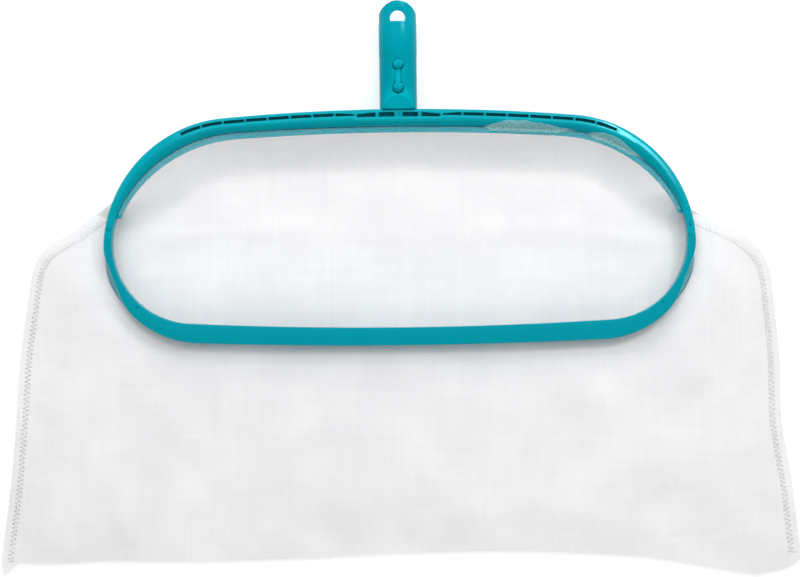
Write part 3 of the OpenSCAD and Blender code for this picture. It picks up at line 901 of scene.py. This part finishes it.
def makeSeam(sideName, line):
    line = [p for p in line if p[1] > seam["endY"]]
    even = curveThrough(line[::4] + [line[-1]], 2.0)
    rows = []
    shares = [0.0, 0.2, 0.5, 0.8, 1.0]
    lines = [insetLine(even, seam["inset"] + seam["width"] * s) for s in shares]
    heights = [stitchHeight(l) for l in lines]
    for i in range(len(even)):
        curl = 0.25 * noise.noise(Vector((even[i][1] / 6, even[i][0] / 40, 0)))
        rows.append([place(l[i][0], l[i][1], h[i] + curl * s)
                     for l, h, s in zip(lines, heights, shares)])
    strip = sweep(f"{sideName}_seam_strip", rows, bagCloth, closed=False, ends=False)
    thicken(strip, 0.2)
    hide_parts(f"{sideName}_seam_allowance")

    step = seam["zigzag"] / 2
    walk = curveThrough(line[::4] + [line[-1]], step)
    near = insetLine(walk, seam["inset"] + seam["width"] + 0.6)
    far = insetLine(walk, seam["inset"] + seam["width"] + 0.6 - seam["zigzagW"])
    path = [near[i] if i % 2 else far[i] for i in range(len(walk))]
    z = stitchHeight(path) + seam["threadR"] + 0.15
    curve = bpy.data.curves.new(f"{sideName}_zigzag", "CURVE")
    curve.dimensions = "3D"
    curve.bevel_depth = seam["threadR"] * mm
    curve.bevel_resolution = 1
    spline = curve.splines.new("POLY")
    spline.points.add(len(path) - 1)
    for point, (x, y), h in zip(spline.points, path, z):
        point.co = (*place(x, y, h), 1)
    drawn = bpy.data.objects.new(f"{sideName}_zigzag_curve", curve)
    bpy.context.scene.collection.objects.link(drawn)
    graph = bpy.context.evaluated_depsgraph_get()
    mesh = bpy.data.meshes.new_from_object(drawn.evaluated_get(graph))
    bpy.data.objects.remove(drawn)
    stitches = bpy.data.objects.new(f"{sideName}_zigzag", mesh)
    bpy.context.scene.collection.objects.link(stitches)
    mesh.materials.clear()
    mesh.materials.append(sewing)
    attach(stitches, "net_frame")
    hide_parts(f"{sideName}_seam_stitching")
    return [strip, stitches]


rightPieces = makeSeam("right", rightSeam)
leftPieces = makeSeam("left", leftSeam)
print("seams made")

# Studio: a white table that glows a little, a broad soft light from behind the handle, a small key and
# a fill that never show in the gloss, and two lights, streak and glint, that show only in it
studio = {"world": 0.455, "floor": "#D0D0D0", "glow": 0.5, "floorHalf": 4.0,
          "soft": {"at": (-0.1, 2.0, 1.7), "size": 2.0, "watts": 50},
          "key": {"at": (0.95, 1.1, 1.5), "size": 0.12, "watts": 6},
          "fill": {"at": (0.1, -1.7, 1.8), "size": 1.8, "watts": 9.5},
          "streak": {"at": (0.95, 1.1, 1.5), "size": 0.5, "watts": 75},
          "glint": {"at": (-0.8, 0.9, 2.2), "size": 0.9, "watts": 8}}


def addLight(name, setting, inGloss, inDiffuse=True):
    lamp = bpy.data.lights.new(name, "AREA")
    lamp.shape = "SQUARE"
    lamp.size = setting["size"]
    lamp.energy = setting["watts"]
    light = bpy.data.objects.new(name, lamp)
    light.location = setting["at"]
    light.rotation_euler = (-Vector(setting["at"])).to_track_quat("-Z", "Y").to_euler()
    light.visible_glossy = inGloss
    light.visible_diffuse = inDiffuse
    bpy.context.scene.collection.objects.link(light)


def addStudio():
    world = bpy.data.worlds.new("studio")
    world.use_nodes = True
    back = world.node_tree.nodes["Background"]
    back.inputs["Color"].default_value = (1, 1, 1, 1)
    back.inputs["Strength"].default_value = studio["world"]
    world.cycles_visibility.glossy = False
    bpy.context.scene.world = world
    addLight("soft_light", studio["soft"], False)
    addLight("key_light", studio["key"], False)
    addLight("streak_light", studio["streak"], True, False)
    addLight("glint_light", studio["glint"], True, False)
    addLight("fill_light", studio["fill"], False)
    material, tree, shader = newMaterial("white_table")
    shader.inputs["Base Color"].default_value = linear(studio["floor"])
    shader.inputs["Roughness"].default_value = 0.9
    shader.inputs["Specular IOR Level"].default_value = 0.0
    shader.inputs["Emission Color"].default_value = (1, 1, 1, 1)
    shader.inputs["Emission Strength"].default_value = studio["glow"]
    mesh = bpy.data.meshes.new("floor")
    half = studio["floorHalf"]
    z = cadSize[0][2] - 0.5 * mm
    mesh.from_pydata([(-half, -half, z), (half, -half, z), (half, half, z), (-half, half, z)], [],
                     [(0, 1, 2, 3)])
    mesh.materials.append(material)
    floor = bpy.data.objects.new("floor", mesh)
    bpy.context.scene.collection.objects.link(floor)
    bpy.context.scene.view_settings.view_transform = "Standard"


addStudio()
print("studio lit")
